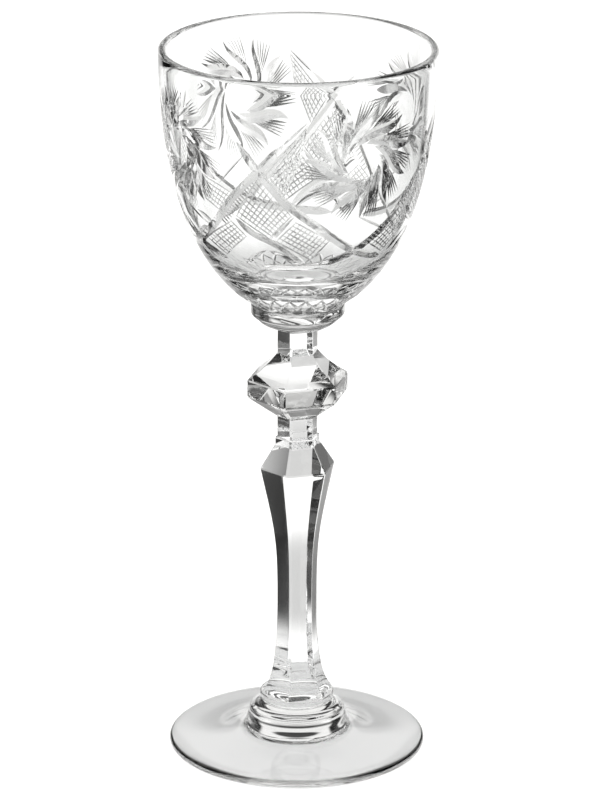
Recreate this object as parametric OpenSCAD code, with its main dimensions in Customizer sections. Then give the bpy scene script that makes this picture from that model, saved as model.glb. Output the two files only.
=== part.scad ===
// Stemmed wine glass in clear crystal, standing on its foot.
// Millimetres, +Z up, origin on the table at the middle of the foot.
// Each piece of glass is a solid of its own and meets the next one face to face,
// where the real glass is fused while it is hot.

/* [Whole glass] */
// Height from the table to the lip
glass_h = 190; // [160:1:240]

/* [Foot] */
// Diameter of the foot
foot_d = 67.4; // [56:0.2:90]
// Thickness of the foot at its rounded edge
foot_edge = 1.8; // [1.4:0.1:3]
// Height of the foot under the button
foot_h = 5.4; // [4:0.1:8]
// Rise of the hollow under the foot
foot_hollow = 3.2; // [1:0.1:3.4]
// Width of the flat ring that the glass rests on
rest_w = 3.2; // [2:0.1:5]

/* [Foot button] */
// Diameter of the button where it spreads onto the foot
button_d = 27; // [22:0.2:34]
// Diameter of the button's seat under the shaft
button_top_d = 18.8; // [14:0.2:21]
// Height of the button
button_h = 7.2; // [5:0.1:10]

/* [Shaft] */
// Diameter of the round lip at the bottom of the shaft
lip_d = 19.6; // [15:0.2:24]
// Height of the round lip
lip_h = 1.6; // [1:0.1:3]
// Width of the shaft's foot across its corners
shaft_foot_w = 19.4; // [14:0.2:22]
// Width of the shaft's waist across its corners
waist_w = 10.8; // [8:0.1:14]
// Place of the waist, as a share of the way from the lip to the shoulder
waist_place = 0.42; // [0.3:0.01:0.6]
// Width of the shaft's shoulder across its corners
shoulder_w = 20.2; // [15:0.2:26]
// Height of the cone above the shoulder
shoulder_h = 6.3; // [4:0.1:9]

/* [Necks] */
// Width of the necks across their corners
neck_w = 10.9; // [8:0.1:13.2]
// Height of the lower neck, with its ring
lower_neck_h = 7.7; // [5:0.1:12]
// Width of the ring at the bottom of the lower neck, across its corners
ring_w = 12; // [10:0.1:14]
// Height of that ring
ring_h = 2; // [1:0.1:3]
// Height of the upper neck
upper_neck_h = 6.2; // [4:0.1:10]

/* [Knop] */
// Width of the knop's belt across its corners
knop_w = 27.2; // [20:0.2:34]
// Height of the cone under the belt
knop_low_h = 5.9; // [4:0.1:9]
// Height of the upright belt
belt_h = 4.6; // [2:0.1:8]
// Height of the cone above the belt
knop_high_h = 6.9; // [4:0.1:10]

/* [Bowl collar] */
// Diameter of the collar
collar_d = 24.4; // [20:0.2:30]
// Height of the flare under the collar's disc
flare_h = 3.8; // [2:0.1:6]
// Thickness of the collar's disc
collar_t = 3.5; // [2.5:0.1:6]
// Depth to which the bowl sits in the collar
seat_depth = 3.4; // [2:0.1:5]

/* [Bowl] */
// Diameter of the bowl at the lip
rim_d = 71.4; // [58:0.2:90]
// Height of the bowl from its lowest point to the lip
bowl_h = 71.2; // [60:0.2:100]
// Thickness of the bowl at the lip
rim_wall = 2.1; // [1.4:0.1:3]
// Thickness of the glass at the bottom of the bowl
floor_t = 9; // [6:0.1:12]

/* [Hidden] */
// Smoothness of the round pieces and of the curved outlines
$fn = 96;
steps = 20;
edge_steps = 8;

// Heights at which one piece stands on the next
button_z = foot_h;
shaft_z = button_z + button_h;
bowl_z = glass_h - bowl_h;
collar_top_z = bowl_z + seat_depth;
collar_z = collar_top_z - collar_t - flare_h;
upper_neck_z = collar_z - upper_neck_h;
knop_z = upper_neck_z - knop_low_h - belt_h - knop_high_h;
lower_neck_z = knop_z - lower_neck_h;
shoulder_z = lower_neck_z - shoulder_h;
lip_top_z = shaft_z + lip_h;
waist_z = lip_top_z + waist_place * (shoulder_z - lip_top_z);

// Corner radii of the six-sided pieces, and radii of the round ones
waist_r = waist_w / 2;
shoulder_r = shoulder_w / 2;
neck_r = neck_w / 2;
ring_r = ring_w / 2;
knop_r = knop_w / 2;
lip_r = lip_d / 2;
shaft_foot_r = shaft_foot_w / 2;
button_r = button_d / 2;
button_top_r = button_top_d / 2;
foot_r = foot_d / 2;
collar_r = collar_d / 2;
rim_r = rim_d / 2;
lip_round = 0.5;
// Outward step from a neck to the cone that it stands on
cone_step = 0.25;
// Round corners of the collar's disc: the lower one is kept within its thickness
collar_low_round = min(1.2, 0.4 * collar_t);
collar_top_round = 0.5;
// A profile longer than any of the six-sided pieces is wide
across = 2 * max(knop_w, shoulder_w, shaft_foot_w);

// Colourless glass
clear_glass = [0.88, 0.93, 0.94];

// Point of a cubic curve at t, for control points p
function on_curve(p, t) =
    pow(1 - t, 3) * p[0] + 3 * pow(1 - t, 2) * t * p[1]
    + 3 * (1 - t) * t * t * p[2] + pow(t, 3) * p[3];

// Points of a cubic curve, both ends included
function curve(p) = [for (i = [0 : steps]) on_curve(p, i / steps)];

// Points of a round edge about c, from angle a to angle b
function arc(c, r, a, b) = [
    for (i = [0 : edge_steps])
        let (angle = a + (b - a) * i / edge_steps)
        c + r * [cos(angle), sin(angle)]
];

// Outside of the bowl, from its lowest point to the start of the lip
function bowl_outside() = curve([
    [0, bowl_z],
    [0.11 * rim_r, bowl_z],
    [0.98 * rim_r, bowl_z + 0.03 * bowl_h],
    [rim_r, glass_h - rim_wall / 2]
]);

// Inside of the bowl, from the bottom of the hollow to the start of the lip
function bowl_inside() =
    let (inner_r = rim_r - rim_wall, floor_z = bowl_z + floor_t)
    curve([
        [0, floor_z],
        [0.46 * inner_r, floor_z],
        [0.94 * inner_r, floor_z + 0.01 * bowl_h],
        [inner_r, glass_h - rim_wall / 2]
    ]);

// The same list of points in the opposite order
function reversed(points) = [for (i = [len(points) - 1 : -1 : 0]) points[i]];

// Solid of revolution from an outline of [radius, height] points
module turned(outline) {
    color(clear_glass) rotate_extrude() polygon(outline);
}

// Six-sided solid whose corner radius follows a list of [radius, height] points,
// with flats that face front and back: three slabs crossed at 60 degrees
module six_sided(corners) {
    flats = [for (p = corners) [p[0] * cos(30), p[1]]];
    mirrored = [for (p = reversed(flats)) [-p[0], p[1]]];
    color(clear_glass)
        intersection_for (turn = [0, 60, 120])
            rotate([0, 0, turn]) rotate([90, 0, 90])
                linear_extrude(height = across, center = true)
                    polygon(concat(flats, mirrored));
}

// Foot: a thin dish with a hollow underside, which rises to the button
module foot() {
    edge_r = foot_edge / 2;
    rest_out = foot_r - edge_r;
    rest_in = rest_out - rest_w;
    underside = concat([[0, foot_hollow]], curve([
        [0.8 * button_r, foot_hollow], [1.15 * button_r, foot_hollow],
        [1.25 * button_r, 0.12 * foot_hollow], [rest_in, 0]
    ]));
    edge = arc([rest_out, edge_r], edge_r, -90, 90);
    topside = curve([
        [rest_out, foot_edge],
        [0.65 * foot_r, foot_edge + 0.14 * (foot_h - foot_edge)],
        [button_r + 0.05 * foot_r, foot_edge + 0.45 * (foot_h - foot_edge)],
        [button_r, foot_h]
    ]);
    turned(concat(underside, edge, topside, [[0, foot_h]]));
}

// Button: the round blob of glass that joins the shaft to the foot
module foot_button() {
    side_h = 0.52 * button_h;
    step_h = 0.66 * button_h;
    side_r = button_r - 0.9;
    step_r = (side_r + button_top_r) / 2;
    side = [[0, button_z], [button_r, button_z], [side_r, button_z + side_h]];
    shoulder = curve([
        [side_r, button_z + side_h],
        [side_r - 0.1, button_z + step_h],
        [step_r + 0.4, button_z + step_h],
        [step_r, button_z + step_h + 0.4]
    ]);
    neck = curve([
        [step_r, button_z + step_h + 0.4],
        [step_r - 0.5, button_z + step_h + 0.8],
        [button_top_r, shaft_z - 0.8],
        [button_top_r, shaft_z]
    ]);
    turned(concat(side, shoulder, neck, [[0, shaft_z]]));
}

// Round lip at the bottom of the shaft
module shaft_lip() {
    turned(concat(
        [[0, shaft_z]],
        arc([lip_r - lip_round, shaft_z + lip_round], lip_round, -90, 0),
        arc([lip_r - lip_round, lip_top_z - lip_round], lip_round, 0, 90),
        [[0, lip_top_z]]
    ));
}

// Shaft: six-sided, narrow at the waist, with a shoulder and a cone above it
module stem_shaft() {
    flare = curve([
        [shaft_foot_r, lip_top_z],
        [0.9 * shaft_foot_r, lip_top_z + 0.08 * (waist_z - lip_top_z)],
        [waist_r, lip_top_z + 0.09 * (waist_z - lip_top_z)],
        [waist_r, waist_z]
    ]);
    rise = curve([
        [waist_r, waist_z],
        [waist_r, waist_z + 0.48 * (shoulder_z - waist_z)],
        [0.63 * shoulder_r, waist_z + 0.54 * (shoulder_z - waist_z)],
        [shoulder_r, shoulder_z]
    ]);
    union() {
        shaft_lip();
        six_sided(concat(flare, rise, [[ring_r - cone_step, lower_neck_z]]));
    }
}

// Lower neck: a short six-sided post that stands on a slightly wider ring
module lower_neck() {
    union() {
        six_sided([[ring_r, lower_neck_z], [ring_r, lower_neck_z + ring_h]]);
        six_sided([[neck_r, lower_neck_z], [neck_r, knop_z]]);
    }
}

// Knop: a six-sided belt between two cones
module knop() {
    cone_r = neck_r + cone_step;
    belt_z = knop_z + knop_low_h;
    belt_top_z = belt_z + belt_h;
    upper_cone = curve([
        [knop_r, belt_top_z],
        [cone_r + 0.62 * (knop_r - cone_r), belt_top_z + 0.28 * knop_high_h],
        [cone_r + 0.26 * (knop_r - cone_r), belt_top_z + 0.6 * knop_high_h],
        [cone_r, upper_neck_z]
    ]);
    six_sided(concat([[cone_r, knop_z], [knop_r, belt_z]], upper_cone));
}

// Upper neck: the six-sided post between the knop and the collar
module upper_neck() {
    six_sided([[neck_r, upper_neck_z], [neck_r, collar_z]]);
}

// Collar: a round disc on a flare, dished on top to the shape of the bowl
module bowl_collar() {
    disc_z = collar_z + flare_h;
    low_r = collar_r - collar_low_round;
    top_r = collar_r - collar_top_round;
    flare = curve([
        [neck_r + cone_step, collar_z],
        [neck_r + 0.3 * (collar_r - neck_r), collar_z + 0.2 * flare_h],
        [neck_r + 0.75 * (collar_r - neck_r), collar_z + 0.6 * flare_h],
        [low_r, disc_z]
    ]);
    lower_edge = arc([low_r, disc_z + collar_low_round], collar_low_round, -90, 0);
    upper_edge = arc([top_r, collar_top_z - collar_top_round], collar_top_round, 0, 90);
    difference() {
        turned(concat([[0, collar_z]], flare, lower_edge, upper_edge, [[0, collar_top_z]]));
        turned(concat(bowl_outside(), [[0, glass_h]]));
    }
}

// Bowl: thin at the lip and thick at the bottom, with a rounded lip
module bowl() {
    lip = arc([rim_r - rim_wall / 2, glass_h - rim_wall / 2], rim_wall / 2, 0, 180);
    turned(concat(bowl_outside(), lip, reversed(bowl_inside())));
}

foot();
foot_button();
stem_shaft();
lower_neck();
knop();
upper_neck();
bowl_collar();
bowl();
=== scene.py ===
"""Stemmed wine glass in cut crystal, built up from the table: foot, button, shaft, neck,
knop, neck, collar, and the bowl with its wheel-cut decoration; then the table and the studio."""
import math

import bpy
import numpy as np
from mathutils import Euler, Matrix, Vector


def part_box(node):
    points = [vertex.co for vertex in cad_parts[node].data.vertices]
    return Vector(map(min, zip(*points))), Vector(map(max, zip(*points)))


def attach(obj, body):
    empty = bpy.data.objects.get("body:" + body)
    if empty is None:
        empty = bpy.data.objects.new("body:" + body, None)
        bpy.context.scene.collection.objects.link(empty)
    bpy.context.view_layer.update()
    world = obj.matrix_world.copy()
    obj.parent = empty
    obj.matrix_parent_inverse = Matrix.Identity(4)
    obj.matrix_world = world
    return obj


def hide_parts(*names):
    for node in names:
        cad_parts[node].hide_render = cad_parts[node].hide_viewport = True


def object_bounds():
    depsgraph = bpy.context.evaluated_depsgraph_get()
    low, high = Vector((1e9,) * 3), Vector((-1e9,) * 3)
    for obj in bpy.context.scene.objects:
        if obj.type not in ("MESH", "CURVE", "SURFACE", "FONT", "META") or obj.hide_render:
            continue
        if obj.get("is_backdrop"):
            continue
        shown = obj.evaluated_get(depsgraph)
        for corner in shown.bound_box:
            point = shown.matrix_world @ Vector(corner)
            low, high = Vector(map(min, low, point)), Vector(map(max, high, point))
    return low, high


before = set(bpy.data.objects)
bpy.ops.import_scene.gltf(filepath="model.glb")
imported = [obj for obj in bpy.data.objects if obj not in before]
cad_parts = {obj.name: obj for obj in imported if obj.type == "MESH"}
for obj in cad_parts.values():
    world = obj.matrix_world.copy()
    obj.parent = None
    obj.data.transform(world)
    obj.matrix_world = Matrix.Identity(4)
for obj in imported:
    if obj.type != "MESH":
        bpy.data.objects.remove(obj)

cad_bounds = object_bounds()
mm = 0.001


# ---------------------------------------------------------------------------------------
# Foot: a thin dish of clear crystal, spun out flat while hot. It rests on a narrow ring, and
# rises in the middle to the button fused onto it. The hollow underneath follows its top.
# ---------------------------------------------------------------------------------------
class Value:
    """A number in a node tree. Arithmetic on it adds Math nodes to the same tree."""

    def __init__(self, tree, socket):
        self.tree = tree
        self.socket = socket

    def maths(self, operation, *terms):
        return self.tree.add("ShaderNodeMath", {"operation": operation}, dict(enumerate(terms)))

    def __add__(self, other):
        return self.maths("ADD", self, other)

    def __sub__(self, other):
        return self.maths("SUBTRACT", self, other)

    def __rsub__(self, other):
        return self.maths("SUBTRACT", other, self)

    def __mul__(self, other):
        return self.maths("MULTIPLY", self, other)

    def __truediv__(self, other):
        return self.maths("DIVIDE", self, other)

    __radd__ = __add__
    __rmul__ = __mul__


class Tree:
    """A node tree that is filled one node at a time."""

    def __init__(self, node_tree):
        self.nodes = node_tree.nodes
        self.links = node_tree.links

    def add(self, kind, settings=None, inputs=None, output=0):
        """Adds a node: its settings first, then the values or links of its sockets."""
        node = self.nodes.new(kind)
        for name, setting in (settings or {}).items():
            setattr(node, name, setting)
        for name, given in (inputs or {}).items():
            if isinstance(given, Value):
                self.links.new(given.socket, node.inputs[name])
            else:
                node.inputs[name].default_value = given
        return Value(self, node.outputs[output]) if len(node.outputs) else None


def new_finish(name):
    """A material with an empty node tree."""
    material = bpy.data.materials.new(name)
    material.use_nodes = True
    material.node_tree.nodes.clear()
    return material, Tree(material.node_tree)


crystal_ior = 1.54
crystal_tint = (0.985, 0.99, 0.988, 1.0)


def crystal(name, haze, haze_spread, haze_scale, ripple, ripple_scale):
    """Clear crystal: haze is how dull the polish is, ripple how uneven the surface is."""
    material, tree = new_finish(name)
    place = tree.add("ShaderNodeTexCoord", output="Object")
    streaks = tree.add(
        "ShaderNodeTexNoise", None,
        {"Vector": place, "Scale": haze_scale, "Detail": 4.0, "Roughness": 0.6},
    )
    waves = tree.add(
        "ShaderNodeTexNoise", None,
        {"Vector": place, "Scale": ripple_scale, "Detail": 1.0, "Roughness": 0.4},
    )
    surface = tree.add(
        "ShaderNodeBump", None, {"Strength": 1.0, "Distance": ripple, "Height": waves},
    )
    shader = tree.add(
        "ShaderNodeBsdfPrincipled", None,
        {
            "Base Color": crystal_tint,
            "Roughness": haze + haze_spread * streaks,
            "IOR": crystal_ior,
            "Transmission Weight": 1.0,
            "Normal": surface,
        },
    )
    tree.add("ShaderNodeOutputMaterial", None, {"Surface": shader})
    return material


def fused_seat():
    """Where two gathers of glass were fused the glass runs through, so nothing shows."""
    material, tree = new_finish("fused_seat")
    shader = tree.add(
        "ShaderNodeBsdfPrincipled", None, {"Base Color": (1.0, 1.0, 1.0, 1.0), "Alpha": 0.0},
    )
    tree.add("ShaderNodeOutputMaterial", None, {"Surface": shader})
    return material


fire_polished = crystal(
    "fire_polished_crystal", haze=0.0, haze_spread=0.012, haze_scale=300.0,
    ripple=0.00002, ripple_scale=60.0,
)
seat_finish = fused_seat()


def curve(control, steps=24):
    """Points of a cubic curve, both ends included."""
    t = np.linspace(0.0, 1.0, steps + 1)[:, None]
    a, b, c, d = (np.array(p, float) for p in control)
    points = (1 - t) ** 3 * a + 3 * (1 - t) ** 2 * t * b + 3 * (1 - t) * t ** 2 * c + t ** 3 * d
    return [tuple(p) for p in points]


def arc(centre, radius, start, end, steps=10):
    """Points of a round edge, from one angle to another in degrees."""
    angles = [math.radians(start + (end - start) * i / steps) for i in range(steps + 1)]
    return [(centre[0] + radius * math.cos(a), centre[1] + radius * math.sin(a)) for a in angles]


def turned_mesh(name, outline, around=192, reach=None):
    """A solid of revolution from a list of (radius, height) that starts and ends on the axis.
    reach may change a radius with the direction, for a ring that isn't round."""
    points = [outline[0]]
    for point in outline[1:]:
        if math.dist(point, points[-1]) > 1e-7:
            points.append(point)
    turn = np.arange(around) * 2 * math.pi / around
    verts, rings = [], []
    for radius, height in points:
        if radius < 1e-9:
            rings.append([len(verts)] * around)
            verts.append((0.0, 0.0, height))
            continue
        radii = reach(radius, height, turn) if reach else np.full(around, radius)
        rings.append(list(range(len(verts), len(verts) + around)))
        verts.extend(zip(radii * np.cos(turn), radii * np.sin(turn), [height] * around))
    faces = []
    for low, high in zip(rings, rings[1:]):
        for i in range(around):
            j = (i + 1) % around
            faces.append(list(dict.fromkeys([low[i], low[j], high[j], high[i]])))
    mesh = bpy.data.meshes.new(name)
    mesh.from_pydata([tuple(map(float, v)) for v in verts], [], faces)
    return mesh


def face_numbers(mesh, key):
    """The centres or normals of all faces as one array."""
    numbers = np.empty(3 * len(mesh.polygons))
    mesh.polygons.foreach_get(key, numbers)
    return numbers.reshape(-1, 3)


def flat_seats(*heights):
    """A test for the faces of flat seats at these heights."""
    def fused(centre, normal):
        level = np.abs(normal[:, 2]) > 0.9999
        return level & (np.abs(centre[:, 2:] - np.array(heights)).min(axis=1) < 1e-6)
    return fused


def glass_piece(name, mesh, node, fused, finishes, sharp_angle=28, finish_of=None):
    """Puts a finished mesh in the scene as the glass of one node of the frame. Faces that
    pass the fused test get the last finish."""
    piece = bpy.data.objects.new(name, mesh)
    bpy.context.scene.collection.objects.link(piece)
    mesh.materials.clear()
    for finish in finishes:
        mesh.materials.append(finish)
    seat = fused(face_numbers(mesh, "center"), face_numbers(mesh, "normal"))
    slots = np.zeros(len(seat), int) if finish_of is None else finish_of
    mesh.polygons.foreach_set("material_index", np.where(seat, len(finishes) - 1, slots))
    mesh.shade_smooth()
    mesh.set_sharp_from_angle(angle=math.radians(sharp_angle))
    mesh.update()
    piece.visible_shadow = False
    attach(piece, "root")
    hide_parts(node)
    return piece


foot_low, foot_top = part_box("foot")
button_low, button_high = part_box("foot_button")
foot_r = foot_top.x
foot_h = foot_top.z
button_r = button_high.x
foot_edge = 1.8 * mm
foot_hollow = 3.2 * mm
rest_w = 3.2 * mm
rest_out = foot_r - foot_edge / 2
rest_in = rest_out - rest_w
underside = [(0, foot_hollow)] + curve([
    (0.8 * button_r, foot_hollow), (1.15 * button_r, foot_hollow),
    (1.25 * button_r, 0.12 * foot_hollow), (rest_in, 0),
], 40)
topside = curve([
    (rest_out, foot_edge),
    (0.65 * foot_r, foot_edge + 0.14 * (foot_h - foot_edge)),
    (button_r + 0.05 * foot_r, foot_edge + 0.45 * (foot_h - foot_edge)),
    (button_r, foot_h),
])
foot_outline = (
    underside + arc((rest_out, foot_edge / 2), foot_edge / 2, -90, 90) + topside + [(0, foot_h)]
)
foot_mesh = turned_mesh("foot_glass", foot_outline)
glass_piece("foot_glass", foot_mesh, "foot", flat_seats(foot_h), [fire_polished, seat_finish])


# ---------------------------------------------------------------------------------------
# Foot button: a round blob of crystal dropped onto the foot while hot, with a rolled
# shoulder. It joins the shaft to the foot and is fused to both.
# ---------------------------------------------------------------------------------------
shaft_low, shaft_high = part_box("stem_shaft")
button_z = button_low.z
shaft_z = button_high.z
button_h = shaft_z - button_z
button_top_r = 9.3 * mm
button_draft = 0.9 * mm
side_z = button_z + 0.52 * button_h
step_z = button_z + 0.66 * button_h
side_r = button_r - button_draft
step_r = (side_r + button_top_r) / 2
button_outline = (
    [(0, button_z)]
    + curve([
        (button_r, button_z), (button_r - 0.1 * mm, button_z + 0.2 * button_h),
        (side_r, button_z + 0.35 * button_h), (side_r, side_z),
    ], 10)
    + curve([
        (side_r, side_z), (side_r - 0.1 * mm, step_z),
        (step_r + 0.4 * mm, step_z), (step_r, step_z + 0.4 * mm),
    ], 12)
    + curve([
        (step_r, step_z + 0.4 * mm), (step_r - 0.5 * mm, step_z + 0.8 * mm),
        (button_top_r, shaft_z - 0.8 * mm), (button_top_r, shaft_z),
    ], 12)
    + [(0, shaft_z)]
)
button_mesh = turned_mesh("foot_button_glass", button_outline)
glass_piece(
    "foot_button_glass", button_mesh, "foot_button", flat_seats(button_z, shaft_z),
    [fire_polished, seat_finish],
)


# ---------------------------------------------------------------------------------------
# Shaft: pressed six-sided crystal with crisp, slightly broken corners. It stands on a round
# lip, draws in to a waist, and swells to a shoulder with a six-sided cone above it.
# ---------------------------------------------------------------------------------------
def tree_inputs(group, **kinds):
    """Gives a geometry tree its named inputs and its output."""
    for name, kind in kinds.items():
        group.interface.new_socket(name.replace("_", " "), in_out="INPUT", socket_type=kind)
    group.interface.new_socket("Mesh", in_out="OUTPUT", socket_type="NodeSocketGeometry")


def grow(name, mesh, group, **values):
    """Runs a geometry tree on a mesh, with its inputs set by identifier, and returns the
    plain mesh that comes out."""
    seed = bpy.data.objects.new(name, mesh)
    bpy.context.scene.collection.objects.link(seed)
    modifier = seed.modifiers.new("grow", "NODES")
    modifier.node_group = group
    sockets = {s.name: s.identifier for s in group.interface.items_tree if s.in_out == "INPUT"}
    for key, value in values.items():
        modifier[sockets[key.replace("_", " ")]] = value
    shown = seed.evaluated_get(bpy.context.evaluated_depsgraph_get())
    result = bpy.data.meshes.new_from_object(shown)
    bpy.data.objects.remove(seed)
    result.name = name
    return result


def line_mesh(name, lines, **numbers):
    """A mesh of open lines, with a number or a direction stored at each point."""
    points = [p for line in lines for p in line]
    edges, start = [], 0
    for line in lines:
        edges.extend((start + i, start + i + 1) for i in range(len(line) - 1))
        start += len(line)
    mesh = bpy.data.meshes.new(name)
    mesh.from_pydata([tuple(map(float, p)) for p in points], edges, [])
    for key, values in numbers.items():
        values = np.array(values, np.float32)
        kind = "FLOAT_VECTOR" if values.ndim == 2 else "FLOAT"
        stored = mesh.attributes.new(key, kind, "POINT")
        stored.data.foreach_set("vector" if values.ndim == 2 else "value", values.ravel())
    return mesh


def facet_tree():
    """Geometry tree: sweeps a polygon with broken corners up a line. The line's points
    store how far the corners stand from the axis."""
    group = bpy.data.node_groups.new("facet_press", "GeometryNodeTree")
    tree_inputs(
        group, Line="NodeSocketGeometry", Sides="NodeSocketInt",
        Corner_break="NodeSocketFloat", Glass="NodeSocketMaterial",
    )
    tree = Tree(group)
    given = tree.nodes.new("NodeGroupInput")
    line, sides, corner_break, glass = (Value(tree, s) for s in given.outputs[:4])
    reach = tree.add("GeometryNodeInputNamedAttribute", None, {"Name": "corner_radius"})
    path = tree.add("GeometryNodeMeshToCurve", None, {"Mesh": line})
    path = tree.add(
        "GeometryNodeSetCurveNormal", {"mode": "FREE"}, {"Curve": path, "Normal": (1.0, 0.0, 0.0)},
    )
    polygon = tree.add(
        "GeometryNodeCurvePrimitiveCircle", None, {"Resolution": sides, "Radius": 1.0},
    )
    section = tree.add(
        "GeometryNodeFilletCurve", {"mode": "POLY"},
        {"Curve": polygon, "Count": 1, "Radius": corner_break},
    )
    solid = tree.add(
        "GeometryNodeCurveToMesh", None,
        {"Curve": path, "Profile Curve": section, "Scale": reach, "Fill Caps": True},
    )
    whole = tree.add("GeometryNodeRealizeInstances", None, {"Geometry": solid})
    whole = tree.add("GeometryNodeSetMaterial", None, {"Geometry": whole, "Material": glass})
    end = tree.nodes.new("NodeGroupOutput")
    tree.links.new(whole.socket, end.inputs[0])
    return group


facet_press = facet_tree()
corner_break = 0.035


def eased(points, cut):
    """The same outline with each inner corner broken by a narrow slope."""
    result = [points[0]]
    for before, here, after in zip(points, points[1:], points[2:]):
        for other in (before, after):
            share = min(0.4, cut / math.dist(here, other))
            result.append(tuple(h + share * (o - h) for h, o in zip(here, other)))
    return result + [points[-1]]


def pressed(name, corners):
    """Six-sided glass from a list of (corner radius, height)."""
    line = [(0.0, 0.0, height) for radius, height in corners]
    seed = line_mesh(name, [line], corner_radius=[radius for radius, height in corners])
    return grow(name, seed, facet_press, Sides=6, Corner_break=corner_break, Glass=fire_polished)


def joined(name, mesh, other, operation):
    """One closed mesh from two: their union, or the first cut by the second."""
    piece = bpy.data.objects.new(name, mesh)
    tool = bpy.data.objects.new(name + "_tool", other)
    for thing in (piece, tool):
        bpy.context.scene.collection.objects.link(thing)
    modifier = piece.modifiers.new("join", "BOOLEAN")
    modifier.object = tool
    modifier.operation = operation
    modifier.solver = "MANIFOLD"
    shown = piece.evaluated_get(bpy.context.evaluated_depsgraph_get())
    result = bpy.data.meshes.new_from_object(shown)
    for thing in (piece, tool):
        bpy.data.objects.remove(thing)
    result.name = name
    return result


neck_low, neck_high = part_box("lower_neck")
lower_neck_z = neck_low.z
ring_r = neck_high.x
lip_r = shaft_high.y
lip_h = 1.6 * mm
lip_round = 0.5 * mm
lip_top_z = shaft_z + lip_h
shaft_foot_r = 9.7 * mm
waist_r = 5.4 * mm
shoulder_r = shaft_high.x
shoulder_h = 6.3 * mm
shoulder_z = lower_neck_z - shoulder_h
waist_z = lip_top_z + 0.42 * (shoulder_z - lip_top_z)
cone_step = 0.25 * mm
low_h = waist_z - lip_top_z
high_h = shoulder_z - waist_z
flare = curve([
    (shaft_foot_r, lip_top_z), (0.9 * shaft_foot_r, lip_top_z + 0.08 * low_h),
    (waist_r, lip_top_z + 0.09 * low_h), (waist_r, waist_z),
], 40)
rise = curve([
    (waist_r, waist_z), (waist_r, waist_z + 0.48 * high_h),
    (0.63 * shoulder_r, waist_z + 0.54 * high_h), (shoulder_r, shoulder_z),
], 30)
lip_mesh = turned_mesh("shaft_lip", (
    [(0, shaft_z)]
    + arc((lip_r - lip_round, shaft_z + lip_round), lip_round, -90, 0)
    + arc((lip_r - lip_round, lip_top_z - lip_round), lip_round, 0, 90)
    + [(0, lip_top_z)]
))
lip_overlap = 0.2 * mm
upper_corners = eased(rise + [(ring_r, lower_neck_z)], 0.25 * mm)
body_corners = [(shaft_foot_r, lip_top_z - lip_overlap)] + flare + upper_corners[1:]
shaft_mesh = joined(
    "stem_shaft_glass", pressed("shaft_body", body_corners), lip_mesh, "UNION",
)
glass_piece(
    "stem_shaft_glass", shaft_mesh, "stem_shaft", flat_seats(shaft_z, lower_neck_z),
    [fire_polished, seat_finish], sharp_angle=18,
)


# ---------------------------------------------------------------------------------------
# Lower neck: a short six-sided post of crystal between the shaft and the knop, with a
# slightly wider ring at its foot. Pressed in one with its neighbours while hot.
# ---------------------------------------------------------------------------------------
knop_low, knop_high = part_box("knop")
knop_z = knop_low.z
neck_r = 5.45 * mm
ring_h = 2.0 * mm
lower_neck_mesh = pressed("lower_neck_glass", [
    (ring_r, lower_neck_z), (ring_r, lower_neck_z + ring_h - 0.3 * mm),
    (ring_r - 0.1 * mm, lower_neck_z + ring_h - 0.08 * mm),
    (neck_r + 0.1 * mm, lower_neck_z + ring_h + 0.1 * mm),
    (neck_r, lower_neck_z + ring_h + 0.4 * mm), (neck_r, knop_z),
])
glass_piece(
    "lower_neck_glass", lower_neck_mesh, "lower_neck", flat_seats(lower_neck_z, knop_z),
    [fire_polished, seat_finish], sharp_angle=18,
)


# ---------------------------------------------------------------------------------------
# Knop: a solid six-sided block of pressed crystal with an upright belt between a short
# lower cone and a hollowed upper one. Its corners are cut crisp and barely broken.
# ---------------------------------------------------------------------------------------
collar_low, collar_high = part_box("bowl_collar")
upper_neck_low, upper_neck_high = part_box("upper_neck")
upper_neck_z = upper_neck_low.z
knop_r = knop_high.x
lower_cone_h = 5.9 * mm
belt_h = 4.6 * mm
belt_z = knop_z + lower_cone_h
belt_top_z = belt_z + belt_h
knop_high_h = upper_neck_z - belt_top_z
knop_swell = knop_r - neck_r
upper_cone = curve([
    (knop_r, belt_top_z), (neck_r + 0.62 * knop_swell, belt_top_z + 0.28 * knop_high_h),
    (neck_r + 0.26 * knop_swell, belt_top_z + 0.6 * knop_high_h), (neck_r, upper_neck_z),
], 20)
belt_outline = eased(
    [(neck_r, knop_z), (knop_r, belt_z), (knop_r, belt_top_z), upper_cone[1]], 0.3 * mm,
)
knop_mesh = pressed("knop_glass", belt_outline + upper_cone[2:])
glass_piece(
    "knop_glass", knop_mesh, "knop", flat_seats(knop_z, upper_neck_z),
    [fire_polished, seat_finish], sharp_angle=18,
)


# ---------------------------------------------------------------------------------------
# Upper neck: the plain six-sided post of crystal that carries the collar on the knop.
# ---------------------------------------------------------------------------------------
collar_z = collar_low.z
upper_neck_mesh = pressed("upper_neck_glass", [(neck_r, upper_neck_z), (neck_r, collar_z)])
glass_piece(
    "upper_neck_glass", upper_neck_mesh, "upper_neck", flat_seats(upper_neck_z, collar_z),
    [fire_polished, seat_finish], sharp_angle=18,
)


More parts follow.
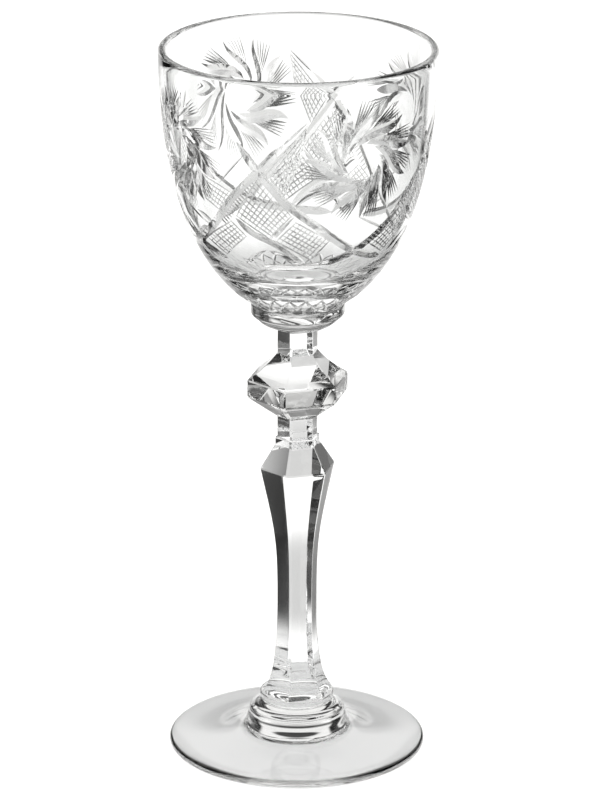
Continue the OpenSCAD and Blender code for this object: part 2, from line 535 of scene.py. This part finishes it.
# ---------------------------------------------------------------------------------------
# Bowl collar: a disc of crystal that flares out of the six-sided neck and turns round.
# Its top is dished to take the bottom of the bowl, and is fused to it.
# ---------------------------------------------------------------------------------------
bowl_low, bowl_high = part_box("bowl")
bowl_z = bowl_low.z
glass_h = bowl_high.z
rim_r = bowl_high.x
bowl_h = glass_h - bowl_z
rim_wall = 2.1 * mm
collar_r = collar_high.x
collar_top_z = collar_high.z
flare_h = 3.8 * mm
flare_top_z = collar_z + flare_h
round_from_h = 2.2 * mm
low_round = 1.2 * mm
top_round = 0.5 * mm
bowl_outside = curve([
    (0, bowl_z), (0.11 * rim_r, bowl_z),
    (0.98 * rim_r, bowl_z + 0.03 * bowl_h), (rim_r, glass_h - rim_wall / 2),
], 110)
dome = [p for p in bowl_outside if p[1] < collar_top_z - 0.02 * mm]
wall = bowl_outside[len(dome):]
share = (collar_top_z - dome[-1][1]) / (wall[0][1] - dome[-1][1])
seat_edge = (dome[-1][0] + share * (wall[0][0] - dome[-1][0]), collar_top_z)


def six_to_round(radius, height, turn):
    """Radius of the flare in each direction: the neck's six sides fade into a circle."""
    sixth = math.pi / 3
    flat = neck_r * math.cos(sixth / 2) / np.cos(turn % sixth - sixth / 2)
    corner = neck_r * (1 - 0.4 * corner_break)
    fade = np.clip((height - collar_z) / round_from_h, 0, 1) ** 0.8
    return (1 - fade) * np.minimum(flat, corner) * radius / neck_r + fade * radius


flare_w = collar_r - neck_r
collar_outline = (
    [(0, collar_z)]
    + curve([
        (neck_r, collar_z), (neck_r + 0.3 * flare_w, collar_z + 0.2 * flare_h),
        (neck_r + 0.75 * flare_w, collar_z + 0.6 * flare_h),
        (collar_r - low_round, flare_top_z),
    ], 16)
    + arc((collar_r - low_round, flare_top_z + low_round), low_round, -90, 0)
    + arc((collar_r - top_round, collar_top_z - top_round), top_round, 0, 90)
    + [seat_edge] + dome[::-1]
)


def collar_seats(centre, normal):
    """The hexagonal seat on the neck, and the dish under the bowl."""
    out = np.hypot(centre[:, 0], centre[:, 1])
    dish = (normal[:, 2] > 0.1) & (centre[:, 2] < collar_top_z - 1e-7) & (out < seat_edge[0])
    return flat_seats(collar_z)(centre, normal) | dish


collar_mesh = turned_mesh("bowl_collar_glass", collar_outline, reach=six_to_round)
glass_piece(
    "bowl_collar_glass", collar_mesh, "bowl_collar", collar_seats, [fire_polished, seat_finish],
)


# ---------------------------------------------------------------------------------------
# Bowl: blown crystal, thick at the bottom and thin at the rounded lip. Its decoration is
# cut into the outside with stone wheels and polished: swirling stars, long crossing
# mitres, and squares of fine crosshatching, in a pattern that repeats round the bowl.
# ---------------------------------------------------------------------------------------
def wheel_tree():
    """Geometry tree: runs the V-shaped rim of a cutting wheel along each line, to the depth
    stored on the line, and repeats the cuts round the bowl. The rim's widest place stands
    a little proud of the glass, so the V is cut to its full width."""
    proud = 0.15
    group = bpy.data.node_groups.new("cutting_wheel", "GeometryNodeTree")
    tree_inputs(
        group, Lines="NodeSocketGeometry", Repeats="NodeSocketInt",
        Half_angle="NodeSocketFloat", Finish="NodeSocketMaterial",
    )
    tree = Tree(group)
    given = tree.nodes.new("NodeGroupInput")
    lines, repeats, half_angle, finish = (Value(tree, s) for s in given.outputs[:4])
    depth = tree.add("GeometryNodeInputNamedAttribute", None, {"Name": "depth"})
    outward = tree.add(
        "GeometryNodeInputNamedAttribute", {"data_type": "FLOAT_VECTOR"}, {"Name": "outward"},
    )
    path = tree.add("GeometryNodeMeshToCurve", None, {"Mesh": lines})
    path = tree.add(
        "GeometryNodeSetCurveNormal", {"mode": "FREE"}, {"Curve": path, "Normal": outward},
    )
    half_width = half_angle.maths("TANGENT", half_angle) * (1.0 + proud)
    left = tree.add("ShaderNodeCombineXYZ", None, {"X": proud, "Y": half_width * -1.0})
    right = tree.add("ShaderNodeCombineXYZ", None, {"X": proud, "Y": half_width})
    rim = tree.add(
        "GeometryNodeCurvePrimitiveQuadrilateral", {"mode": "POINTS"},
        {"Point 1": (-1.0, 0.0, 0.0), "Point 2": left, "Point 3": (1.5, 0.0, 0.0), "Point 4": right},
    )
    cuts = tree.add(
        "GeometryNodeCurveToMesh", None,
        {"Curve": path, "Profile Curve": rim, "Scale": depth, "Fill Caps": True},
    )
    places = tree.add("GeometryNodePoints", None, {"Count": repeats})
    index = tree.add("GeometryNodeInputIndex")
    turn = tree.add("ShaderNodeCombineXYZ", None, {"Z": index * (2 * math.pi) / repeats})
    copies = tree.add(
        "GeometryNodeInstanceOnPoints", None,
        {"Points": places, "Instance": cuts, "Rotation": turn},
    )
    whole = tree.add("GeometryNodeRealizeInstances", None, {"Geometry": copies})
    whole = tree.add("GeometryNodeSetMaterial", None, {"Geometry": whole, "Material": finish})
    end = tree.nodes.new("NodeGroupOutput")
    tree.links.new(whole.socket, end.inputs[0])
    return group


wheel_cut = crystal(
    "wheel_cut_crystal", haze=0.05, haze_spread=0.12, haze_scale=900.0,
    ripple=0.00004, ripple_scale=700.0,
)
cutting_wheel = wheel_tree()
repeats = 4
pattern_turn = -16.0
mm_per_degree = 0.6
wall_radii, wall_heights = (np.array(column) for column in zip(*bowl_outside))
wall_slope = np.gradient(wall_radii, wall_heights)


def on_wall(angle, height):
    """A point on the outside of the bowl, from degrees round it and millimetres above the
    table, and the outward direction there."""
    height = height * mm
    radius = np.interp(height, wall_heights, wall_radii)
    slope = np.interp(height, wall_heights, wall_slope)
    turn = math.radians(angle + pattern_turn)
    point = (radius * math.sin(turn), -radius * math.cos(turn), height)
    outward = Vector((math.sin(turn), -math.cos(turn), -slope)).normalized()
    return point, tuple(outward)


def smooth_line(marks, step=1.2):
    """Closely spaced marks along a smooth line through a few (degrees, millimetres)."""
    marks = np.array(marks, float)
    gaps = np.linalg.norm(np.diff(marks * (mm_per_degree, 1.0), axis=0), axis=1)
    run = np.concatenate([[0.0], np.cumsum(gaps)])
    tangent = np.gradient(marks, run, axis=0)
    result = []
    for here in np.linspace(0.0, run[-1], max(4, round(run[-1] / step)) + 1):
        i = min(int(np.searchsorted(run, here, "right")) - 1, len(marks) - 2)
        gap = run[i + 1] - run[i]
        t = (here - run[i]) / gap
        result.append(
            (1 + 2 * t) * (1 - t) ** 2 * marks[i] + t * (1 - t) ** 2 * gap * tangent[i]
            + t * t * (3 - 2 * t) * marks[i + 1] - t * t * (1 - t) * gap * tangent[i + 1]
        )
    return result


def mitre(t, length):
    """Depth along a long cut: full, and fading over the last few millimetres."""
    fade = 4.0
    return min(1.0, t * length / fade, (1 - t) * length / fade) ** 0.6


def blade(t, length):
    """Depth along a blade of a star: deepest in its inner half, with two sharp points."""
    return max(0.0, math.sin(math.pi * t ** 0.7)) ** 0.85


def scratch(t, length):
    """Depth along a fine line: even, with short ends."""
    fade = 1.2
    return min(1.0, t * length / fade, (1 - t) * length / fade) ** 0.5


def wheel_cuts(strokes, half_angle):
    """The mesh of a set of cuts, each (marks, depth in millimetres, way the depth fades)."""
    least_depth = 0.012
    lines, depths, outwards = [], [], []
    for marks, depth, fade in strokes:
        span = np.linalg.norm((np.array(marks[0]) - marks[-1]) * (mm_per_degree, 1.0))
        spots = [on_wall(*mark) for mark in marks]
        lines.append([point for point, outward in spots])
        outwards.extend(outward for point, outward in spots)
        last = len(marks) - 1
        depths.extend(
            max(least_depth, depth * fade(i / last, span)) * mm for i in range(last + 1)
        )
    seed = line_mesh("cut_lines", lines, depth=depths, outward=outwards)
    return grow(
        "cuts", seed, cutting_wheel, Repeats=repeats, Half_angle=math.radians(half_angle),
        Finish=wheel_cut,
    )


star_angle, star_height = 28.2, 168.5
star_squash = 0.985
blade_count = 11
blade_in, blade_out = 4.8, 15.8
blade_depth, blade_v = 0.85, 61.0
feather_depth, feather_v = 0.24, 50.0
first_tip = 76.0
full_swirl = 72.0


def near_star(reach, bearing):
    """The mark at a distance and a bearing in degrees from the middle of the star."""
    across = reach * math.cos(math.radians(bearing))
    up = reach * math.sin(math.radians(bearing))
    return star_angle + across / mm_per_degree, star_height + star_squash * up


star_blades = [[], [], []]
star_feathers = [[], [], [], [], []]
for k in range(blade_count):
    tip = first_tip + 360.0 * k / blade_count
    marks = []
    for i in range(13):
        reach = blade_in + (blade_out - blade_in) * i / 12
        swirl = full_swirl * ((blade_out - reach) / (blade_out - blade_in)) ** 3
        marks.append(near_star(reach, tip + swirl))
    star_blades[k % 3].append((marks, blade_depth, blade))
    # The fan of fine strokes beside each blade: each is further round and a little shorter.
    for j, feathers in enumerate(star_feathers):
        bearing = tip - 6.5 - 4.6 * j
        first = np.array(near_star(8.6 + 0.55 * j, bearing + 8.0))
        lean = math.radians(bearing - 26.0)
        length = 8.8 - 0.75 * j
        ahead = np.array((length * math.cos(lean) / mm_per_degree, length * math.sin(lean)))
        feathers.append((smooth_line([first, first + ahead], 1.5), feather_depth, blade))

rising = [
    ([(-20, 139.5), (5, 140), (30, 143.5), (47, 150), (60, 158.5), (73, 166.5), (84, 174)], 0.62),
    ([(28, 153.6), (46, 148.2)], 0.2),
]
falling = [
    ([(-26, 174), (-16, 165.5), (-3, 157), (8, 152), (30, 143.5), (50, 140)], 0.62),
    ([(-30, 153), (-22, 149.2), (-13.7, 147.2), (-2.5, 143.4), (4, 140.8)], 0.55),
]
crossing = [
    ([(-6, 174), (0, 177.6), (4, 180)], 0.25),
    ([(-13.6, 147.3), (-1.6, 154.5)], 0.45),
]
leaves = [
    ([(-29, 139.6), (-22, 142.6), (-15.4, 144.7)], 0.5),
    ([(-14.6, 144.5), (-5, 142.5), (3.5, 139.6)], 0.5),
]
hatched = [
    ((-17, 166), (-30.5, 153.2), (-13.6, 147.5), (-1.6, 154.5)),
    ((-12, 147.2), (-1, 153.7), (17, 147.5), (7, 141.3)),
    ((4.5, 180), (-14.5, 166.2), (-6, 159.3), (1.5, 170)),
    ((-32, 152.5), (-54, 145), (-40, 140.8), (-24, 148)),
]
hatch_pitch = 1.3
hatch_depth, hatch_v = 0.15, 52.0
hatch_one, hatch_two = [], []
for quad in hatched:
    a, b, c, d = (np.array(corner, float) for corner in quad)
    for lines, start, end, far_start, far_end in (
        (hatch_one, a, b, d, c), (hatch_two, b, c, a, d),
    ):
        wide = np.linalg.norm((start - end) * (mm_per_degree, 1.0))
        wide = (wide + np.linalg.norm((far_start - far_end) * (mm_per_degree, 1.0))) / 2
        count = round(wide / hatch_pitch)
        for i in range(count):
            share = (i + 0.5) / count
            near = start + share * (end - start)
            far = far_start + share * (far_end - far_start)
            ends = [near + 0.02 * (far - near), far + 0.02 * (near - far)]
            lines.append((smooth_line(ends, 2.0), hatch_depth, scratch))

comb = []
comb_teeth, comb_depth = 20, 0.2
comb_start, comb_run, tooth = np.array((50.0, 153.0)), np.array((22.0, 15.0)), (5.0, -2.6)
for i in range(comb_teeth):
    low = comb_start + i / (comb_teeth - 1) * comb_run
    comb.append((smooth_line([low, low + tooth], 1.5), comb_depth, scratch))

lattice = [[], []]
lattice_count, lattice_depth, lattice_v = 7, 0.42, 56.0
for i in range(lattice_count):
    for lines, lean in zip(lattice, (7.5, -7.5)):
        middle = 90.0 / lattice_count * i
        marks = [(middle - lean, 122.8), (middle, 125.5), (middle + lean, 128.4)]
        lines.append((smooth_line(marks), lattice_depth, mitre))

# Each set of cuts with half the angle of its V. No two cuts of a set cross each other.
mitre_v, leaf_v = 61.0, 54.0
cut_sets = [
    (lattice[0], lattice_v), (lattice[1], lattice_v),
    (hatch_one, hatch_v), (hatch_two, hatch_v), (comb, hatch_v),
    ([(smooth_line(marks), depth, mitre) for marks, depth in falling], mitre_v),
    ([(smooth_line(marks), depth, mitre) for marks, depth in rising], mitre_v),
    ([(smooth_line(marks), depth, blade) for marks, depth in leaves], leaf_v),
    ([(smooth_line(marks), depth, blade) for marks, depth in crossing], leaf_v),
]
cut_sets += [(strokes, blade_v) for strokes in star_blades]
cut_sets += [(strokes, feather_v) for strokes in star_feathers]

floor_t = 9.0 * mm
floor_z = bowl_z + floor_t
inner_r = rim_r - rim_wall
bowl_inside = curve([
    (0, floor_z), (0.46 * inner_r, floor_z),
    (0.94 * inner_r, floor_z + 0.01 * bowl_h), (inner_r, glass_h - rim_wall / 2),
], 70)
lip_centre = (rim_r - rim_wall / 2, glass_h - rim_wall / 2)
blank_outline = dome + [seat_edge] + wall + arc(lip_centre, rim_wall / 2, 0, 180)
bowl_mesh = turned_mesh("bowl_glass", blank_outline + bowl_inside[::-1], around=256)
for strokes, half_angle in cut_sets:
    bowl_mesh = joined("bowl_glass", bowl_mesh, wheel_cuts(strokes, half_angle), "DIFFERENCE")

# A face is cut if it is near the outside of the wall and doesn't lie along it.
centres = face_numbers(bowl_mesh, "center")
normals = face_numbers(bowl_mesh, "normal")
deepest = 1.5 * mm
out = np.hypot(centres[:, 0], centres[:, 1])
wall_out = np.interp(centres[:, 2], wall_heights, wall_radii)
slope = np.interp(centres[:, 2], wall_heights, wall_slope)
facing = (centres[:, 0] * normals[:, 0] + centres[:, 1] * normals[:, 1]) / np.maximum(out, 1e-9)
facing = (facing - slope * normals[:, 2]) / np.hypot(1.0, slope)
is_cut = (out > wall_out - deepest) & (facing > 0.1) & (facing < 0.985)
is_cut &= (centres[:, 2] > collar_top_z + 0.1 * mm) & (centres[:, 2] < glass_h - rim_wall / 2)


def bowl_seat(centre, normal):
    """The round bottom that sits in the collar's dish."""
    return (normal[:, 2] < 0) & (centre[:, 2] < collar_top_z)


glass_piece(
    "bowl_glass", bowl_mesh, "bowl", bowl_seat, [fire_polished, wheel_cut, seat_finish],
    finish_of=is_cut.astype(int),
)


# ---------------------------------------------------------------------------------------
# Table: the pale, matt surface that the glass stands on. Seen through the glass its colour
# has painted shade: a little dimmer than bare, and darker towards the gaps in the tent.
# ---------------------------------------------------------------------------------------
def compass(tree, output):
    """Degrees round the glass of a place or a direction, 0 at the front, as a Value, and its
    height."""
    source = tree.add("ShaderNodeTexCoord", output=output)
    split = tree.nodes.new("ShaderNodeSeparateXYZ")
    tree.links.new(source.socket, split.inputs[0])
    east, north, up = (Value(tree, s) for s in split.outputs)
    return east.maths("ARCTAN2", east, 0.0 - north) * (180 / math.pi), up


def ramp(value, low, high):
    """0 below low, 1 above high, and a soft step between them."""
    return value.tree.add(
        "ShaderNodeMapRange", {"interpolation_type": "SMOOTHSTEP"},
        {"Value": value, "From Min": low, "From Max": high, "To Min": 0.0, "To Max": 1.0},
    )


def sector(bearing, middle, half_width, soft):
    """1 within a sector round the glass, fading to 0 at its sides."""
    off = bearing.maths("WRAP", bearing - middle, 180.0, -180.0)
    off = off.maths("ABSOLUTE", off)
    return 1 - ramp(off, half_width - soft, half_width + soft)


def tent_level(bearing):
    """Brightness of the studio all round: bright panels, dark gaps between them that draw the
    edges of the glass, and the dim room at the front. The table's colour also takes these levels
    as painted shade."""
    panels = 0.93
    right_gap = sector(bearing, 92.5, 31.0, 4.0)
    left_gap = sector(bearing, 210.0, 10.0, 3.0)
    far_gap = sector(bearing, 247.0, 9.0, 3.0)
    room = sector(bearing, -16.0, 42.0, 8.0)
    gaps = (1 - 0.98 * right_gap) * (1 - 0.98 * left_gap) * (1 - 0.95 * far_gap)
    return panels * gaps * (1 - 0.92 * room)


table_finish, tree = new_finish("pale_table")
place = tree.add("ShaderNodeTexCoord", output="Object")
grain = tree.add("ShaderNodeTexNoise", None, {"Vector": place, "Scale": 90.0, "Detail": 3.0})
bearing, up = compass(tree, "Object")
reach = tree.add("ShaderNodeVectorMath", {"operation": "LENGTH"}, {0: place}, output=1)
straight = tree.add("ShaderNodeLightPath", output="Is Camera Ray")
painted_dimming = 0.46
# Painted shade in the table's colour, for every ray but the camera's: darker on bearings towards the
# tent's gaps and the dim room at the front, beyond a few centimetres from the glass, and dimmer
# again at middle distance. Rays from the camera see it plain pale.
painted_shade = 1 - (1 - tent_level(bearing)) * ramp(reach, 0.032, 0.085)
painted_shade = painted_shade * (1.0 - painted_dimming * ramp(reach, 0.045, 0.09) + painted_dimming * ramp(reach, 0.15, 0.4))
painted_shade = painted_shade * (1 - straight) + straight
painted_shade_colour = tree.add(
    "ShaderNodeMix", {"data_type": "RGBA"},
    {"Factor": painted_shade, 6: (0.0, 0.0, 0.0, 1.0), 7: (0.93, 0.93, 0.93, 1.0)}, output=2,
)
shader = tree.add(
    "ShaderNodeBsdfPrincipled", None,
    {"Base Color": painted_shade_colour, "Roughness": 0.75 + 0.1 * grain, "Specular IOR Level": 0.2},
)
tree.add("ShaderNodeOutputMaterial", None, {"Surface": shader})
table_reach = 3.0
table_z = -0.00005
table_mesh = bpy.data.meshes.new("table")
table_mesh.from_pydata(
    [(x * table_reach, y * table_reach, table_z) for x, y in ((-1, -1), (1, -1), (1, 1), (-1, 1))],
    [], [(0, 1, 2, 3)],
)
table_mesh.materials.append(table_finish)
table = bpy.data.objects.new("table", table_mesh)
bpy.context.scene.collection.objects.link(table)
table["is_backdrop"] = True


# ---------------------------------------------------------------------------------------
# Studio: a plain white tent all round, with a dark band above the panels and a dark top. The
# dark parts show in the glass only: seen directly, or lighting the table, the tent is plain
# white. One soft lamp hangs above.
# ---------------------------------------------------------------------------------------
world = bpy.data.worlds.new("white_tent")
world.use_nodes = True
world.node_tree.nodes.clear()
tree = Tree(world.node_tree)
bpy.context.scene.world = world
bearing, up = compass(tree, "Generated")
overhead = ramp(up, 0.7, 0.88)
valance = ramp(up, 0.12, 0.20) * (1 - ramp(up, 0.33, 0.41))
level = tent_level(bearing) * (1 - 0.9 * overhead) * (1 - 0.93 * valance)
straight = tree.add("ShaderNodeLightPath", output="Is Camera Ray")
scattered = tree.add("ShaderNodeLightPath", output="Is Diffuse Ray")
plain = straight.maths("MAXIMUM", straight, scattered)
level = level * (1 - plain) + plain
tent = tree.add(
    "ShaderNodeBackground", None, {"Color": (1.0, 0.993, 0.98, 1.0), "Strength": level},
)
tree.add("ShaderNodeOutputWorld", None, {"Surface": tent})

lamp_data = bpy.data.lights.new("overhead_softbox", "AREA")
lamp_data.size = 1.2
lamp_data.energy = 23.0
lamp = bpy.data.objects.new("overhead_softbox", lamp_data)
lamp.location = (-0.2, 0.1, 1.8)
lamp.visible_glossy = False
lamp.visible_transmission = False
lamp.rotation_euler = (Vector((0, 0, 0.1)) - lamp.location).to_track_quat("-Z", "Y").to_euler()
bpy.context.scene.collection.objects.link(lamp)

scene = bpy.context.scene
scene.view_settings.view_transform = "Standard"
scene.cycles.max_bounces = 32
scene.cycles.transmission_bounces = 28
scene.cycles.glossy_bounces = 12
scene.cycles.transparent_max_bounces = 32


# ---------------------------------------------------------------------------------------
# Camera: a long lens, looking down at the glass from a little above its lip.
# ---------------------------------------------------------------------------------------
view_azimuth = math.radians(-16.0)
view_distance = 1.1935
view_height = 0.5108
view_tilt = math.radians(70.8)
view_roll = math.radians(0.15)
sideways = 0.00065
camera_data = bpy.data.cameras.new("camera")
camera_data.sensor_fit = "VERTICAL"
camera_data.sensor_height = 36.0
camera_data.lens = 219.1
camera_data.clip_start = 0.01
camera_data.clip_end = 20.0
camera = bpy.data.objects.new("camera", camera_data)
camera.location = (
    sideways * math.cos(view_azimuth) + view_distance * math.sin(view_azimuth),
    sideways * math.sin(view_azimuth) - view_distance * math.cos(view_azimuth),
    view_height,
)
aim = Euler((view_tilt, 0.0, view_azimuth)).to_matrix()
camera.rotation_euler = (aim @ Matrix.Rotation(view_roll, 3, "Z")).to_euler()
bpy.context.scene.collection.objects.link(camera)
bpy.context.scene.camera = camera

boxes = {"cad": cad_bounds, "visual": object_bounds()}
boxes = {key: [list(map(float, corner)) for corner in box] for key, box in boxes.items()}
